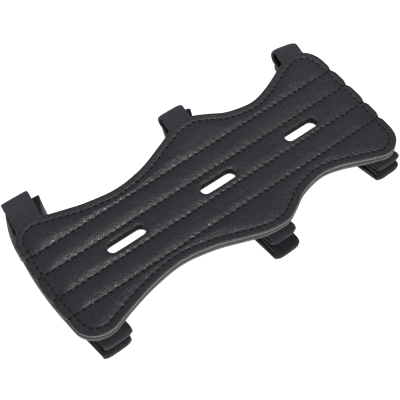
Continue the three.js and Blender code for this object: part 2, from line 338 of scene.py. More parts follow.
elasticLook = {
    "rib": 0.95,    # mm from one rib to the next
    "pick": 0.8,    # mm from one pick to the next
    # painted light and painted shade: lit and shaded copies of the outer side's colour
    "faded": ((0.0195, 0.0175, 0.0242, 1), (0.061, 0.056, 0.0705, 1)),
    "paintedShade": ((0.0037, 0.0033, 0.0048, 1), (0.0128, 0.0118, 0.0165, 1)),
    # inner side: painted shade, near black, and painted light on its rims where light falls into the open
    # loops
    "inside": ((0.003, 0.003, 0.0035, 1), (0.011, 0.0105, 0.012, 1)),
    "paintedRimLight": ((0.075, 0.07, 0.07, 1), (0.2, 0.188, 0.186, 1)),
    # how much painted light, rather than painted shade, its outer side has, by tenths of a metre from its
    # sewn end
    "nearPaintedLight": ((0.1, 0.1), (0.2, 0.4), (0.28, 0.8), (0.36, 0.8), (0.46, 0.0)),
    "farPaintedLight": ((0.1, 0.6), (0.2, 0.9), (0.28, 1.0), (0.36, 1.0), (0.46, 0.0)),
    "paintedRimLightStops": ((0.5, 0.0), (0.76, 1.0)),    # by centimetres from the middle
    "selvedge": ((0.014, 0.0135, 0.016, 1), (0.06, 0.057, 0.064, 1)),
}


# Woven elastic: lengthwise ribs crossed by fine picks, on the strap's own map in millimetres. Its outer
# side has painted light where it lies open to the light and painted shade under the panel's edge and on its
# lower plies. Its inner side, which has no such ramp, is painted in shade, near black, with painted light on
# its rims.
def elasticFinish(name, paintedLightStops, sheen):
    material, wire = newFinish(name)
    uv = wire.node("ShaderNodeUVMap", {"uv_map": "strapMap"})
    loose = loosened(wire, uv, 1.2, 0.12)
    across = wire.node("ShaderNodeSeparateXYZ", {}, {0: loose})
    along = Wire(wire.tree, across.socket.node.outputs[1])
    rib = wire.node("ShaderNodeMath", {"operation": "SINE"}, {0: across * (2 * math.pi / elasticLook["rib"])})
    turn = along * (2 * math.pi / elasticLook["pick"]) + rib * 1.3
    pick = wire.node("ShaderNodeMath", {"operation": "SINE"}, {0: turn})
    fuzz = spots(wire, uv, 5.0, 4.0, 0.7)
    weave = rib * 0.28 + pick * 0.22 + 0.5
    mottle = spots(wire, uv, 0.4, 3.0).ramp((0.3, 0.0), (0.7, 1.0))
    shade = weave * 0.6 + fuzz * 0.4 + mottle * 0.3 - 0.15
    if paintedLightStops:
        # outer side: painted light where it lies open, painted shade under the panel's edge and on the lower
        # plies
        faded = (along * 0.01).ramp(*paintedLightStops)
        colour = faded.tint(shade.tint(*elasticLook["paintedShade"]), shade.tint(*elasticLook["faded"]))
    else:
        # inner side: painted shade, near black, with painted light on its rims
        rim = wire.node("ShaderNodeMath", {"operation": "ABSOLUTE"}, {0: across * 0.1})
        paintedRimLight = rim.ramp(*elasticLook["paintedRimLightStops"])
        colour = paintedRimLight.tint(shade.tint(*elasticLook["inside"]), shade.tint(*elasticLook["paintedRimLight"]))
    height = weave * 0.16 + fuzz * 0.08
    constants = {"Sheen Weight": sheen, "Specular IOR Level": sheen * 3}
    closeFinish(wire, colour, 0.85 + fuzz * 0.12, height, 0.9, constants)
    return material


# Selvedge of the elastic, a little paler than its face
def selvedgeFinish():
    material, wire = newFinish("elasticSelvedge")
    coords = wire.node("ShaderNodeTexCoord", output=3)
    strands = spots(wire, coords, 2200.0, 4.0, 0.7)
    colour = strands.ramp((0.35, 0.0), (0.7, 1.0)).tint(*elasticLook["selvedge"])
    closeFinish(wire, colour, 0.9 + strands * 0.08, strands * 0.12, 0.8, {})
    return material


threadLook = {"low": (0.002, 0.002, 0.002, 1), "high": (0.008, 0.008, 0.009, 1)}


def threadFinish():
    material, wire = newFinish("blackThread")
    coords = wire.node("ShaderNodeTexCoord", output=3)
    twist = spots(wire, coords, 2600.0, 3.0)
    colour = twist.ramp((0.35, 0.0), (0.65, 1.0)).tint(threadLook["low"], threadLook["high"])
    closeFinish(wire, colour, 0.6 + twist * 0.25, twist * 0.1, 0.7, {"Specular IOR Level": 0.25})
    return material


# near black: black edge dressing deepened as painted shade on the slots' walls
dressingAndShadeLook = {"low": (0.002, 0.002, 0.002, 1), "high": (0.007, 0.007, 0.008, 1)}


# Edge dressing on the slots' cut walls, near black as black dressing and as painted shade
def dressedShadedEdgeFinish():
    material, wire = newFinish("dressedShadedSlotEdge")
    coords = wire.node("ShaderNodeTexCoord", output=3)
    flat = wire.node("ShaderNodeMapping", {}, {"Vector": coords, "Scale": (1, 1, 4)})
    brushed = spots(wire, flat, 900.0, 4.0)
    colour = brushed.ramp((0.3, 0.0), (0.7, 1.0)).tint(dressingAndShadeLook["low"], dressingAndShadeLook["high"])
    closeFinish(wire, colour, 0.7 + brushed * 0.2, brushed * 0.05, 0.6, {"Specular IOR Level": 0.2})
    return material


hookLook = {"low": (0.012, 0.012, 0.013, 1), "high": (0.05, 0.05, 0.052, 1)}


def hookFinish():
    material, wire = newFinish("hookTape")
    coords = wire.node("ShaderNodeTexCoord", output=3)
    cells = {"Vector": loosened(wire, coords, 500.0, 0.0003), "Scale": 900.0}
    tips = wire.node("ShaderNodeTexVoronoi", {"feature": "F1"}, cells).ramp((0.0, 1.0), (0.6, 0.0))
    colour = tips.tint(hookLook["low"], hookLook["high"])
    closeFinish(wire, colour, 0.7 - tips * 0.3, tips * 0.4, 1.0, {})
    return material


leather = leatherFinish()
cutEdge = cutEdgeFinish()
suede = suedeFinish()
# near and far straps have their own painted light and shade along the run, the near ones more shaded
elasticNear = elasticFinish("elasticNear", elasticLook["nearPaintedLight"], 0.1)
elasticFar = elasticFinish("elasticFar", elasticLook["farPaintedLight"], 0.1)
elasticInside = elasticFinish("elasticInside", None, 0.02)
selvedge = selvedgeFinish()
blackThread = threadFinish()
hookTape = hookFinish()
dressedShadedEdge = dressedShadedEdgeFinish()
print("finishes ready")


def newPiece(name, mesh, materials, replaced=()):
    data = bpy.data.meshes.new(name)
    mesh.to_mesh(data)
    mesh.free()
    for material in materials:
        data.materials.append(material)
    piece = bpy.data.objects.new(name, data)
    bpy.context.scene.collection.objects.link(piece)
    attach(piece, "root")
    if replaced:
        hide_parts(*replaced)
    return piece


def sharpen(mesh, angle):
    for face in mesh.faces:
        face.smooth = True
    for edge in mesh.edges:
        if len(edge.link_faces) == 2 and edge.calc_face_angle() > angle:
            edge.smooth = False


# Shares of a channel's width at which it has rows, closer together at the sewn lines
def channelShares(steps, crowding):
    shares = []
    for i in range(steps):
        even = i / steps
        shares.append(even * (1 - crowding) + (0.5 - 0.5 * math.cos(math.pi * even)) * crowding)
    return shares


# A sheet cut to the panel's outline, as a grid whose border is the stitch line. Each vertex keeps its outward
# direction, whether it lies on a seam, and how far along the stitch line it is.
def outlinedGrid(columns, channelSteps, crowding):
    rows = []
    for channel, steps in enumerate(channelSteps):
        rows += [(channel, share) for share in channelShares(steps, crowding)]
    rows.append((len(channelSteps) - 1, 1.0))
    mesh = bmesh.new()
    bmesh.ops.create_grid(mesh, x_segments=len(columns) - 1, y_segments=len(rows) - 1, size=1)
    out = mesh.verts.layers.float_vector.new("out")
    sewn = mesh.verts.layers.float.new("sewn")
    run = mesh.verts.layers.float.new("run")
    lastColumn, lastRow = len(columns) - 1, len(rows) - 1
    stitchRow = [at - outward * panel["stitchInset"] for at, outward in columns]
    runs = [0.0]
    for a, b in zip(stitchRow, stitchRow[1:]):
        runs.append(runs[-1] + (b - a).length)
    endRun = 2 * stitchRow[-1].y
    for vert in mesh.verts:
        i = round((vert.co.x + 1) / 2 * lastColumn)
        j = round((vert.co.y + 1) / 2 * lastRow)
        at, outward = columns[i]
        inner = at - outward * panel["stitchInset"]
        channel, share = rows[j]
        marks = [-inner.y] + [seamAt(k, inner.x) for k in range(len(panel["seams"]))] + [inner.y]
        y = marks[channel] + (marks[channel + 1] - marks[channel]) * share
        bow = panel["endBulge"] * (1 - (y / inner.y) ** 2)
        full, start = panel["bulgeRun"]
        toLeft = 1 - smoothStep(inner.x, panel["leftEnd"] + full, panel["leftEnd"] + start)
        toRight = smoothStep(inner.x, panel["rightEnd"] - start, panel["rightEnd"] - full)
        vert.co = (inner.x + bow * (toRight - toLeft), y, 0)
        vert[out] = Vector((outward.x, outward.y if j else -outward.y, 0))
        if i in (0, lastColumn):
            vert[out] = Vector((-1 if i == 0 else 1, 0, 0))
        vert[sewn] = 1.0 if share == 0 and channel else 0.0
        vert[run] = runs[i] if y > 0 else 2 * runs[-1] + endRun - runs[i]
        if i == lastColumn:
            vert[run] = runs[-1] + inner.y - y
        if i == 0:
            vert[run] = 2 * runs[-1] + endRun + inner.y + y
    return mesh


farInside = 99.0    # inset that marks a vertex inside the stitch line


# Widens the sheet's border by rings of faces out to the cut edge
def addMargin(mesh, insets):
    out = mesh.verts.layers.float_vector["out"]
    inset = mesh.verts.layers.float.new("inset")
    for vert in mesh.verts:
        vert[inset] = farInside
    border = [edge for edge in mesh.edges if edge.is_boundary]
    for edge in border:
        for vert in edge.verts:
            vert[inset] = panel["stitchInset"]
    last = panel["stitchInset"]
    for depth in insets:
        made = bmesh.ops.extrude_edge_only(mesh, edges=border)["geom"]
        for vert in (item for item in made if isinstance(item, bmesh.types.BMVert)):
            vert.co += vert[out] * (last - depth)
            vert[inset] = depth
        border = [item for item in made if isinstance(item, bmesh.types.BMEdge) and item.is_boundary]
        last = depth
    return mesh


# Opens the three slots: faces inside go, and the ragged border is drawn onto the true outline
def openSlots(mesh, margin):
    inside = [face for face in mesh.faces if slotEdge(*face.calc_center_median().xy, margin)[0] < 0]
    bmesh.ops.delete(mesh, geom=inside, context="FACES")
    cut = set()
    for edge in (edge for edge in mesh.edges if edge.is_boundary):
        if all(abs(slotEdge(*vert.co.xy, margin)[0]) < slots["ragged"] for vert in edge.verts):
            cut.update(edge.verts)
    for vert in cut:
        vert.co.xy = slotEdge(*vert.co.xy, margin)[1]
    bmesh.ops.remove_doubles(mesh, verts=[vert for vert in mesh.verts if vert in cut], dist=slots["weld"])
    cut = {vert for vert in cut if vert.is_valid}
    rest = [vert for vert in mesh.verts if vert not in cut]
    near = [vert for vert in rest if slotEdge(*vert.co.xy, margin)[0] < slots["eased"]]
    for _ in range(3):
        bmesh.ops.smooth_vert(mesh, verts=near, factor=0.4, use_axis_x=True, use_axis_y=True)
    return mesh


face = {
    "columns": 226,
    "cornerSteps": 12,
    "channelSteps": [18, 16, 26, 16, 18],
    "crowding": 0.55,    # how much closer its rows lie at the sewn lines
    "marginInsets": [3.95, 3.5, 2.9, 2.2, 1.5, 0.9, 0.45, 0.15, 0.0],
    # thickness against distance from the cut edge
    "marginProfile": [(0, 1.95), (0.15, 2.15), (0.45, 2.3), (0.9, 2.37), (1.5, 2.4), (2.2, 2.4), (2.9, 2.4),
                      (3.5, 2.38), (3.95, 2.32), (4.3, 2.24)],
    "seam": 2.2,
    "crest": (3.42, 2.74),    # at the narrow and the wide end
    "shoulder": (5.8, 7.5),    # mm to the flat of a channel from a seam and from the perimeter stitch
    "endFade": (-1.5, 9.0),    # mm in from the end stitch over which the channels rise
    "rim": 2.6,    # thickness pressed round the slots
    "rimWidth": 0.6,
    "rimRise": 1.3,
    "groove": (0.22, 1.05),    # depth and half width of the dip that each stitch pulls
    "notch": 0.75,    # how far the seams pull the end edges in
    "notchWidth": 1.9,
    "endLift": 0.15,    # how far the end edges stand up between the seams
    "endPull": 0.7,    # how far the seams pull them down
    "sharp": 0.8,    # radians at which an edge stays sharp
}
# Slow rise and fall of hand-stuffed leather: how close and how high its two noises are, and how much of it
# is left at the sewn lines and in the margin
wave = {"broad": (0.11, 0.2), "fine": (0.3, 0.06), "acrossMore": 2.2, "atSeam": 0.35, "atMargin": 0.3}


def profileAt(table, place):
    for (a, low), (b, high) in zip(table, table[1:]):
        if place <= b:
            return low + (high - low) * (place - a) / (b - a)
    return table[-1][1]


def seamGap(x, y):
    return min(abs(y - seamAt(k, x)) for k in range(len(panel["seams"])))


# Share of a channel's swell at a place across it, round at the shoulders and flat on top
def swellAt(x, y, halfWidth):
    fromSeam, fromEdge = face["shoulder"]
    share = min(1, seamGap(x, y) / fromSeam, max(0, halfWidth - abs(y)) / fromEdge)
    return 1 - (1 - share) ** 2


def waveAt(x, y):
    (broad, broadRise), (fine, fineRise) = wave["broad"], wave["fine"]
    slow = noise.noise(Vector((x, y * wave["acrossMore"], 3.0)) * broad) * broadRise
    return slow + noise.noise(Vector((x, y, 9.0)) * fine) * fineRise


# Thickness of the padded part, inside the stitch line
def paddedThickness(x, y, halfWidth, run):
    toEnd = min(x - panel["leftEnd"], panel["rightEnd"] - x) - panel["stitchInset"]
    full = smoothStep(toEnd, *face["endFade"])
    swell = full * swellAt(x, y, halfWidth)
    crest = profileAt([(panel["leftEnd"], face["crest"][0]), (panel["rightEnd"], face["crest"][1])], x)
    thick = face["seam"] + (crest - face["seam"]) * swell
    pressed = 1 - smoothStep(slotEdge(x, y)[0], face["rimWidth"], face["rimWidth"] + face["rimRise"])
    thick += (face["rim"] - thick) * pressed
    depth, reach = face["groove"]
    seamDip = math.exp(-(seamGap(x, y) / reach) ** 2) * stitchPull(x - seamStart)
    toStitch = min(halfWidth - abs(y), max(0, toEnd))
    edgeDip = math.exp(-(toStitch / reach) ** 2) * stitchPull(run)
    waving = wave["atSeam"] + (1 - wave["atSeam"]) * swell
    return thick - depth * max(seamDip, edgeDip) + waveAt(x, y) * waving


# Thickness of the sewn margin, and how far its end edges are pulled in where the seams cross them
def marginThickness(x, y, inset, atEnd, run):
    depth, reach = face["groove"]
    dip = math.exp(-((panel["stitchInset"] - inset) / reach) ** 2) * stitchPull(run)
    thick = profileAt(face["marginProfile"], inset) - depth * dip + waveAt(x, y) * wave["atMargin"]
    pull = math.exp(-(seamGap(x, y) / face["notchWidth"]) ** 2) if atEnd else 0
    outness = 1 - inset / panel["stitchInset"]
    if atEnd:
        thick += (face["endLift"] - face["endPull"] * pull) * outness
    return thick, face["notch"] * pull * outness


padding = {
    "frames": 16,
    "scale": 100.0,    # the skin is swelled at a hundred times its size, where the cloth steps are steady
    "quality": 6,
    "pressure": 0.12,
    "slack": 0.02,    # spare leather between the sewn lines, which puckers beside them
    "mass": 0.02,
    "stretch": 14.0,
    "bend": 0.25,
    "cap": 0.14,    # mm that a point may move
}


# Swells the padded skin between its sewn lines as a cloth, and keeps the result in the top layer
def swellSkin(mesh, top, held):
    data = bpy.data.meshes.new("paddedSkin")
    mesh.to_mesh(data)
    mesh.verts.ensure_lookup_table()
    for vert in mesh.verts:
        data.vertices[vert.index].co = vert[top] * padding["scale"]
    skin = bpy.data.objects.new("paddedSkin", data)
    bpy.context.scene.collection.objects.link(skin)
    group = skin.vertex_groups.new(name="sewn")
    group.add([vert.index for vert in held], 1.0, "REPLACE")
    cloth = skin.modifiers.new("swell", "CLOTH")
    settings = cloth.settings
    settings.quality = padding["quality"]
    settings.mass = padding["mass"]
    settings.tension_stiffness = padding["stretch"]
    settings.compression_stiffness = padding["stretch"]
    settings.shear_stiffness = padding["stretch"] / 2
    settings.bending_stiffness = padding["bend"]
    settings.shrink_min = -padding["slack"]
    settings.use_pressure = True
    settings.uniform_pressure_force = padding["pressure"]
    settings.vertex_group_mass = "sewn"
    settings.effector_weights.gravity = 0
    cloth.collision_settings.use_collision = False
    cloth.collision_settings.use_self_collision = False
    cloth.point_cache.frame_start = 1
    cloth.point_cache.frame_end = padding["frames"]
    for step in range(1, padding["frames"] + 1):
        bpy.context.scene.frame_set(step)
    swelled = skin.evaluated_get(bpy.context.evaluated_depsgraph_get()).data
    furthest = 0.0
    for vert in mesh.verts:
        move = swelled.vertices[vert.index].co / padding["scale"] - vert[top]
        furthest = max(furthest, move.length / mm)
        limit = padding["cap"] * mm
        vert[top] = vert[top] + move * (limit / (limit + move.length))
    bpy.data.objects.remove(skin)
    bpy.data.meshes.remove(data)
    bpy.context.scene.frame_set(1)
    print("padded skin swelled by up to", round(furthest, 2), "mm before the cap")


def leatherFace():
    columns = edgeColumns(face["columns"], face["cornerSteps"])
    mesh = outlinedGrid(columns, face["channelSteps"], face["crowding"])
    addMargin(mesh, face["marginInsets"])
    openSlots(mesh, 0.0)
    inset = mesh.verts.layers.float["inset"]
    out = mesh.verts.layers.float_vector["out"]
    run = mesh.verts.layers.float["run"]
    top = mesh.verts.layers.float_vector.new("top")
    rise = mesh.verts.layers.float.new("rise")
    halfWidths = [(at.x - outward.x * panel["stitchInset"], at.y - outward.y * panel["stitchInset"])
                  for at, outward in columns]
    for vert in mesh.verts:
        x, y = vert.co.xy
        if vert[inset] < farInside:
            thick, pulled = marginThickness(x, y, vert[inset], abs(vert[out].x) > 0.999, vert[run])
            x -= math.copysign(pulled, x)
        else:
            thick = paddedThickness(x, y, profileAt(halfWidths, x), vert[run])
        bottom = underside(x, y) + panel["backingThickness"] + panel["plyGap"]
        vert.co = onPanel(x, y, bottom)
        vert[top] = onPanel(x, y, bottom + thick)
    sewn = mesh.verts.layers.float["sewn"]
    held = [vert for vert in mesh.verts
            if vert[sewn] or vert[inset] < farInside or vert.is_boundary]
    swellSkin(mesh, top, held)
    made = bmesh.ops.extrude_face_region(mesh, geom=list(mesh.faces))["geom"]
    raised = {item for item in made if isinstance(item, bmesh.types.BMVert)}
    for vert in raised:
        vert.co = vert[top]
        vert[rise] = 1.0
    for item in mesh.faces:
        mixed = {vert in raised for vert in item.verts}
        middle = item.calc_center_median() / mm
        onSlot = slotEdge(middle.x - shiftX, middle.y - shiftY)[0] < 1
        if len(mixed) == 2:
            item.material_index = 2 if onSlot else 1
    bmesh.ops.recalc_face_normals(mesh, faces=list(mesh.faces))
    sharpen(mesh, face["sharp"])
    piece = newPiece("leatherFace", mesh, [leather, cutEdge, dressedShadedEdge], ["face_panel"])
    return piece


facePiece = leatherFace()
print("leather face:", len(facePiece.data.polygons), "faces")

backing = {
    "columns": 150,
    "cornerSteps": 10,
    "channelSteps": [10, 8, 16, 8, 10],
    "slotMargin": 0.8,
    "marginInsets": [2.6, 1.3, 0.7, 0.3, 0.0],
    "round": 0.55,
    "roundWidth": 0.7,
    "nap": (0.35, 0.06),    # how close and how high the nap's noise is
    "flare": {"left": 0.25, "near": 0.5, "rest": 0.1},    # mm that its edge stands out past the leather
    "flareWidth": 2.6,
    "flareLeft": (2.0, 16.0),    # from the left end, over which the left flare ends
    "flareNear": (20.0, 28.0),    # from the middle line, over which the near flare sets in
    "flareWave": (0.045, 0.6, 0.8),    # how close its noise is, its middle and its height
    "sharp": 0.8,
}


# How far the backing's edge stands out at a place, more at the left end and along the near long edge
def flareAt(x, y):
    flare = backing["flare"]
    close, middle, height = backing["flareWave"]
    left = 1 - smoothStep(x - panel["leftEnd"], *backing["flareLeft"])
    ripple = noise.noise(Vector((x * close, 2.0, 4.0)))
    near = smoothStep(-y, *backing["flareNear"]) * (middle + height * ripple)
    out = flare["rest"] + left * (flare["left"] - flare["rest"])
    return out + max(0, near) * (flare["near"] - flare["rest"])


def suedeBacking():
    columns = edgeColumns(backing["columns"], backing["cornerSteps"])
    mesh = outlinedGrid(columns, backing["channelSteps"], 0.0)
    addMargin(mesh, backing["marginInsets"])
    openSlots(mesh, backing["slotMargin"])
    inset = mesh.verts.layers.float["inset"]
    out = mesh.verts.layers.float_vector["out"]
    top = mesh.verts.layers.float_vector.new("top")
    close, height = backing["nap"]
    for vert in mesh.verts:
        x, y = vert.co.xy
        nap = noise.noise(Vector((x, y, 5.0)) * close) * height
        rounded = backing["round"] * (1 - min(1, vert[inset] / backing["roundWidth"])) ** 2
        outEdge = flareAt(x, y) * (1 - smoothStep(vert[inset], 0, backing["flareWidth"]))
        x += vert[out].x * outEdge
        y += vert[out].y * outEdge
        bottom = underside(x, y) + nap + rounded
        vert.co = onPanel(x, y, bottom)
        vert[top] = onPanel(x, y, underside(x, y) + panel["backingThickness"] - rounded)
    flatArea = sum(item.calc_area() for item in mesh.faces)
    made = bmesh.ops.extrude_face_region(mesh, geom=list(mesh.faces))["geom"]
    raised = {item for item in made if isinstance(item, bmesh.types.BMVert)}
    for vert in raised:
        vert.co = vert[top]
    for item in mesh.faces:
        middle = item.calc_center_median() / mm
        onSlot = slotEdge(middle.x - shiftX, middle.y - shiftY, backing["slotMargin"])[0] < 0.3
        if onSlot and len({vert in raised for vert in item.verts}) == 2:
            item.material_index = 1
    bmesh.ops.recalc_face_normals(mesh, faces=list(mesh.faces))
    sharpen(mesh, backing["sharp"])
    piece = newPiece("suedeBacking", mesh, [suede, dressedShadedEdge], ["backing"])
    return piece


backingPiece = suedeBacking()
print("suede backing:", len(backingPiece.data.polygons), "faces")

# Elastic straps, on the routes that their solids have: sewn under the edge, out to an upper fold, in to a
# bend, out to a lower fold and in along the surface to the free end. Each fold has its reach from the middle
# line and its shift along the guard, share is how much of the height the upper fold takes, slack is how far
# a fold's corners fall short of its middle, and bow is how far the ply between the upper fold and the bend
# sags to one side.
strap = {
    "width": 16.2,
    "ply": 1.3,
    "sewnLength": 13.0,
    "sewnGap": 0.45,
    "bendRadius": 0.85,
    "bendFromEdge": 12.0,
    "end": 19.0,
    "sewnSteps": 12,
    "foldSteps": 14,
    "plySteps": 8,
    "endSteps": 14,
    "acrossSteps": 8,
    "weld": 0.05,    # mm under which two places on the route are one
    "slackRun": (-2.0, 6.0),    # from the panel's edge, over which the corners begin to fall short
    "slackPower": 5,    # how close to the strap's rims they do
    "edgeRound": 0.45,
    "edgeSegments": 3,
    "edgeAngle": 50.0,
}
strapRows = {
    "strap_near_left": dict(side=-1, sewnX=-95, turn=0, upper=(44.5, 0.9), lower=(45.2, -0.7), bend=-1.2,
                            end=-3.5, share=0.45, slack=1.4, bow=0),
    "strap_near_middle": dict(side=-1, sewnX=8.4, turn=0, upper=(48.3, 0.4), lower=(53.7, -0.6), bend=-0.5,
                              end=-2.5, share=0.47, slack=1.5, bow=0),
    "strap_near_right": dict(side=-1, sewnX=88.7, turn=0, upper=(46.6, 0.2), lower=(49.2, -1), bend=-1.2,
                             end=-4.5, share=0.42, slack=1.2, bow=0),
    "strap_far_left": dict(side=1, sewnX=-97.3, turn=0, upper=(62.3, 3.4), lower=(60.5, 8.5), bend=-4,
                           end=1.6, share=0.65, slack=0.25, bow=-1.6),
    "strap_far_middle": dict(side=1, sewnX=6.5, turn=0, upper=(59.8, 3), lower=(60.2, 9.5), bend=-2.5,
                             end=3.5, share=0.6, slack=0.7, bow=-1.5),
    "strap_far_right": dict(side=1, sewnX=94.3, turn=10, upper=(58.2, -0.6), lower=(55.5, 1.2), bend=-3.6,
                            end=1, share=0.6, slack=1.3, bow=-1),
}
longEdgePlaces = [(at.x, at.y) for at, outward in edgeColumns(32, 5)]


def sewnHeight(x, y, edge):
    held = min(edge, max(-edge, y))
    slope = 2 * lay["edgeLift"] * edge / lay["halfWidth"] ** 2
    return underside(x, held) - strap["sewnGap"] - strap["ply"] / 2 + slope * abs(y - held)


def strapRoute(row):
    half = strap["ply"] / 2
    edge = profileAt(longEdgePlaces, row["sewnX"])
    side = row["side"]
    upperReach, upperShift = row["upper"]
    lowerReach, lowerShift = row["lower"]
    upperV = upperReach
    for _ in range(3):
        topZ = sewnHeight(row["sewnX"] + upperShift, side * upperV, edge)
        both = (topZ - half) / 2 - strap["bendRadius"]
        upper = both * row["share"]
        lower = both - upper
        upperV = upperReach - upper - half
    lowerV = lowerReach - lower - half
    bendV = edge - strap["bendFromEdge"]
    sewn = sewnHeight(row["sewnX"], side * bendV, edge)
    sewnBelow = sewn - strap["ply"] - panel["plyGap"]
    bendZ = min(half + 2 * lower + strap["bendRadius"], sewnBelow - strap["bendRadius"])
    turn = math.radians(row["turn"])
    route = []

    def place(shift, v, z):
        out = v - edge
        x = row["sewnX"] + shift * math.cos(turn) + out * math.sin(turn)
        route.append(Vector((x, side * (edge - shift * math.sin(turn) + out * math.cos(turn)), z)))

    def run(shifts, vs, zs, steps, bow=0.0):
        for i in range(steps):
            t = i / steps
            shift = shifts[0] + (shifts[1] - shifts[0]) * t + bow * math.sin(math.pi * t)
            place(shift, vs[0] + (vs[1] - vs[0]) * t, zs[0] + (zs[1] - zs[0]) * t)

    def fold(v, z, radius, start, end, shift):
        for i in range(strap["foldSteps"] + 1):
            angle = math.radians(start + (end - start) * i / strap["foldSteps"])
            place(shift, v + radius * math.cos(angle), z + radius * math.sin(angle))

    for i in range(strap["sewnSteps"]):
        shift = upperShift * i / strap["sewnSteps"]
        v = edge - strap["sewnLength"] + (upperV - edge + strap["sewnLength"]) * i / strap["sewnSteps"]
        place(shift, v, sewnHeight(row["sewnX"] + shift, side * v, edge))
    fold(upperV, topZ - upper, upper, 90, -90, upperShift)
    bendTop = bendZ + strap["bendRadius"]
    plySteps = strap["plySteps"]
    run((upperShift, row["bend"]), (upperV, bendV), (topZ - 2 * upper, bendTop), plySteps, row["bow"])
    fold(bendV, bendZ, strap["bendRadius"], 90, 270, row["bend"])
    bendLow = bendZ - strap["bendRadius"]
    run((row["bend"], lowerShift), (bendV, lowerV), (bendLow, half + 2 * lower), plySteps)
    fold(lowerV, half + lower, lower, 90, -90, lowerShift)
    run((lowerShift, row["end"]), (lowerV, strap["end"]), (half, half), strap["endSteps"])
    place(row["end"], strap["end"], half)
    clean = [route[0]]
    for point in route[1:]:
        if (point - clean[-1]).length > strap["weld"]:
            clean.append(point)
    return clean


def elasticStrap(name, row):
    route = strapRoute(row)
    edge = profileAt(longEdgePlaces, row["sewnX"])
    turn = math.radians(row["turn"])
    across = Vector((math.cos(turn), -row["side"] * math.sin(turn), 0))
    mesh = bmesh.new()
    bmesh.ops.create_grid(mesh, x_segments=strap["acrossSteps"], y_segments=len(route) - 1, size=1)
    strapMap = mesh.loops.layers.uv.new("strapMap")
    runs = [0.0]
    for a, b in zip(route, route[1:]):
        runs.append(runs[-1] + (b - a).length)
    for vert in mesh.verts:
        step = round((vert.co.y + 1) / 2 * (len(route) - 1))
        offset = vert.co.x * (strap["width"] / 2)
        for loop in vert.link_loops:
            loop[strapMap].uv = (offset, runs[step])
        place = route[step] + across * offset
        beyond = smoothStep(abs(place.y) - edge, *strap["slackRun"])
        place.y -= row["side"] * row["slack"] * abs(vert.co.x) ** strap["slackPower"] * beyond
        vert.co = framed(*place)
    bmesh.ops.recalc_face_normals(mesh, faces=list(mesh.faces))
    mesh.faces.ensure_lookup_table()
    if mesh.faces[0].normal.z < 0:
        bmesh.ops.reverse_faces(mesh, faces=list(mesh.faces))
    for item in mesh.faces:
        item.smooth = True
    outside = elasticNear if row["side"] < 0 else elasticFar
    pieceName = "elastic" + "".join(word.title() for word in name.split("_")[1:])
    piece = newPiece(pieceName, mesh, [outside, selvedge, elasticInside], [name])
    solid = piece.modifiers.new("ply", "SOLIDIFY")
    solid.thickness = strap["ply"] * mm
    solid.offset = 0
    solid.use_even_offset = True
    solid.material_offset = 2
    solid.material_offset_rim = 1
    rounded = piece.modifiers.new("selvedge", "BEVEL")
    rounded.width = strap["edgeRound"] * mm
    rounded.segments = strap["edgeSegments"]
    rounded.limit_method = "ANGLE"
    rounded.angle_limit = math.radians(strap["edgeAngle"])
    return piece, route


strapRoutes = {}
for strapName, strapRow in strapRows.items():
    strapPiece, strapRoutes[strapName] = elasticStrap(strapName, strapRow)
    places = strapRoutes[strapName]
    bandLength = sum((b - a).length for a, b in zip(places, places[1:]))
    print(strapPiece.name, "band of", round(bandLength), "mm")

hook = {
    "width": 12.0,
    "length": 22.0,
    "thickness": 1.1,
    "fromEnd": 2.0,
    "corner": 1.2,
    "rim": 0.2,
    "sharp": 0.7,
}


# Hook tape on the free end of each far strap
def hookPatch(name):
    low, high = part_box(name)
    strapName = name.replace("hook_patch", "strap_far")
    end = strapRoutes[strapName][-1]
    run = (strapRoutes[strapName][-3] - end).normalized()
    middle = end + run * (hook["fromEnd"] + hook["length"] / 2)
    mesh = bmesh.new()
    size = Matrix.Diagonal((hook["width"], hook["length"], hook["thickness"], 1))
    bmesh.ops.create_cube(mesh, size=1, matrix=size)
    rounding = {"affect": "EDGES", "profile": 0.5, "material": -1}
    upright = [edge for edge in mesh.edges if edge.verts[0].co.z * edge.verts[1].co.z < 0]
    bmesh.ops.bevel(mesh, geom=upright, offset=hook["corner"], segments=4, **rounding)
    rims = [edge for edge in mesh.edges if all(vert.co.z > 0 for vert in edge.verts)]
    bmesh.ops.bevel(mesh, geom=rims, offset=hook["rim"], segments=2, **rounding)
    spin = Matrix.Rotation(math.atan2(run.y, run.x) - math.pi / 2, 4, "Z")
    height = (low[2] + high[2]) / 2
    place = Matrix.Translation(framed(middle.x, middle.y, height / mm)) @ spin @ Matrix.Scale(mm, 4)
    bmesh.ops.transform(mesh, matrix=place, verts=list(mesh.verts))
    bmesh.ops.recalc_face_normals(mesh, faces=list(mesh.faces))
    sharpen(mesh, hook["sharp"])
    return newPiece("hookTape" + name.split("_")[-1].title(), mesh, [hookTape], [name])


for patchName in ("hook_patch_left", "hook_patch_middle", "hook_patch_right"):
    print(hookPatch(patchName).name, "placed")

sewing = {"edgeSteps": 400, "cornerSteps": 24, "endSteps": 40, "seamSteps": 220}


# Sewn lines in plan: the perimeter as one closed line, and the four seams from end to end
def sewnLines():
    columns = edgeColumns(sewing["edgeSteps"], sewing["cornerSteps"])
    inner = [at - outward * panel["stitchInset"] for at, outward in columns]
    near = [Vector((p.x, -p.y)) for p in reversed(inner)]
    leftHalf, rightHalf = inner[0].y, inner[-1].y

    def endRun(x, half, sign):
        steps = [half * (1 - 2 * i / sewing["endSteps"]) for i in range(1, sewing["endSteps"])]
        return [Vector((x + sign * panel["endBulge"] * (1 - (y / half) ** 2), y)) for y in steps]

    right = endRun(inner[-1].x, rightHalf, 1)
    left = endRun(inner[0].x, leftHalf, -1)[::-1]
    lines = [inner + right + near + left + [inner[0]]]
    seamLength = panel["rightEnd"] - panel["leftEnd"] + 2 * stitch["overrun"]
    for k in range(len(panel["seams"])):
        seam = []
        for i in range(sewing["seamSteps"] + 1):
            x = seamStart + seamLength * i / sewing["seamSteps"]
            seam.append(Vector((x, seamAt(k, x))))
        lines.append(seam)
    return lines


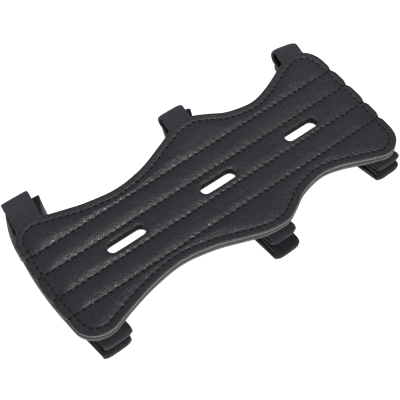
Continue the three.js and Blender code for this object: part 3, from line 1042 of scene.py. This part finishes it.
# One stitch of thread: two strands twisted together, narrowing and diving at both ends
def threadGrain():
    mesh = bmesh.new()
    steps, sides = stitch["grid"]
    for strand in (0, 1):
        made = bmesh.ops.create_grid(mesh, x_segments=steps, y_segments=sides, size=1)["verts"]
        for vert in made:
            along, around = vert.co.x, math.pi * vert.co.y
            swing = math.pi * (strand + stitch["turns"] * along / 2)
            taper = stitch["thickness"] * math.sqrt(max(0, 1 - along ** 4))
            y = taper * (stitch["swing"] * math.cos(swing) + stitch["strand"] * math.cos(around))
            z = taper * (stitch["swing"] * math.sin(swing) + stitch["strand"] * math.sin(around))
            vert.co = (along * stitch["length"] / 2, y, z - stitch["sink"] * along ** 4)
    bmesh.ops.remove_doubles(mesh, verts=list(mesh.verts), dist=1e-4)
    bmesh.ops.recalc_face_normals(mesh, faces=list(mesh.faces))
    for item in mesh.faces:
        item.smooth = True
    data = bpy.data.meshes.new("threadGrain")
    mesh.to_mesh(data)
    mesh.free()
    return data


# Stitches as short grains of thread on a sewn line, laid on a surface by its height
def sewLine(mesh, grain, line, height):
    travelled, due = 0.0, stitch["pitch"] / 2
    for a, b in zip(line, line[1:]):
        step = (b - a).length
        while due <= travelled + step:
            at = a + (b - a) * ((due - travelled) / step)
            along = (b - a).normalized()
            rise = (height(*(at + along)) - height(*(at - along))) / 2
            forward = Vector((along.x, along.y, rise)).normalized()
            side = Vector((-along.y, along.x, 0))
            turn = Matrix((forward, side, forward.cross(side))).transposed().to_4x4()
            spot = onPanel(at.x, at.y, height(at.x, at.y))
            laid = grain.copy()
            laid.transform(Matrix.Translation(spot) @ turn @ Matrix.Scale(mm, 4))
            mesh.from_mesh(laid)
            bpy.data.meshes.remove(laid)
            due += stitch["pitch"]
        travelled += step


def stitching(name, height, lines):
    mesh = bmesh.new()
    grain = threadGrain()
    for line in lines:
        sewLine(mesh, grain, line, height)
    bpy.data.meshes.remove(grain)
    return newPiece(name, mesh, [blackThread])


allLines = sewnLines()


def seamTop(x, y):
    leatherLow = underside(x, y) + panel["backingThickness"] + panel["plyGap"]
    return leatherLow + face["seam"] - face["groove"][0] + waveAt(x, y) * wave["atSeam"] + stitch["proud"]


def backingBelow(x, y):
    return underside(x, y) + stitch["backSink"]


stitching("faceStitching", seamTop, allLines)
stitching("backStitching", backingBelow, allLines)
print("stitching sewn on", len(allLines), "lines")

# Floor, light and camera
studio = {
    "floorSize": 20.0,
    "floorDrop": 0.0002,
    "floor": ((0.9, 0.9, 0.9, 1), (0.93, 0.93, 0.93, 1)),
    "floorGlow": 0.92,    # a lit table, so that the slots show bright
    "world": 0.28,
    "keyPower": 14.0,
    "keySize": 0.55,
    "keyPlace": (0.08, -0.4, 1.3),
}


def floorFinish():
    material, wire = newFinish("paleFloor")
    coords = wire.node("ShaderNodeTexCoord", output=3)
    colour = spots(wire, coords, 2.0).tint(*studio["floor"])
    glow = {"Emission Color": (1, 1, 1, 1), "Emission Strength": studio["floorGlow"]}
    closeFinish(wire, colour, 0.9, spots(wire, coords, 400.0), 0.02, {"Specular IOR Level": 0.1, **glow})
    return material


floorMesh = bmesh.new()
bmesh.ops.create_grid(floorMesh, x_segments=2, y_segments=2, size=studio["floorSize"])
floorData = bpy.data.meshes.new("floor")
floorMesh.to_mesh(floorData)
floorMesh.free()
floorData.materials.append(floorFinish())
floor = bpy.data.objects.new("floor", floorData)
floor.location.z = -studio["floorDrop"]
bpy.context.scene.collection.objects.link(floor)

world = bpy.data.worlds.new("studio")
world.use_nodes = True
world.node_tree.nodes["Background"].inputs["Color"].default_value = (1, 1, 1, 1)
world.node_tree.nodes["Background"].inputs["Strength"].default_value = studio["world"]
bpy.context.scene.world = world


def softbox(name, power, size, place, target):
    data = bpy.data.lights.new(name, "AREA")
    data.energy = power
    data.shape = "DISK"
    data.size = size
    light = bpy.data.objects.new(name, data)
    light.location = place
    light.rotation_euler = (Vector(target) - Vector(place)).to_track_quat("-Z", "Y").to_euler()
    bpy.context.scene.collection.objects.link(light)


softbox("keyLight", studio["keyPower"], studio["keySize"], studio["keyPlace"], (0, 0, 0))

view = {
    "eye": (-0.14274, -0.17932, 0.33958),
    "elevation": 56.53,
    "azimuth": -37.22,
    "lens": 64.77,
    "sensor": 36.0,
    "clipStart": 0.01,
}
camera = bpy.data.objects.new("camera", bpy.data.cameras.new("camera"))
camera.data.sensor_width = view["sensor"]
camera.data.lens = view["lens"]
camera.data.clip_start = view["clipStart"]
camera.location = view["eye"]
camera.rotation_euler = (math.radians(90 - view["elevation"]), 0, math.radians(view["azimuth"]))
bpy.context.scene.collection.objects.link(camera)
bpy.context.scene.camera = camera
bpy.context.scene.view_settings.view_transform = "Standard"

print("scene ready")
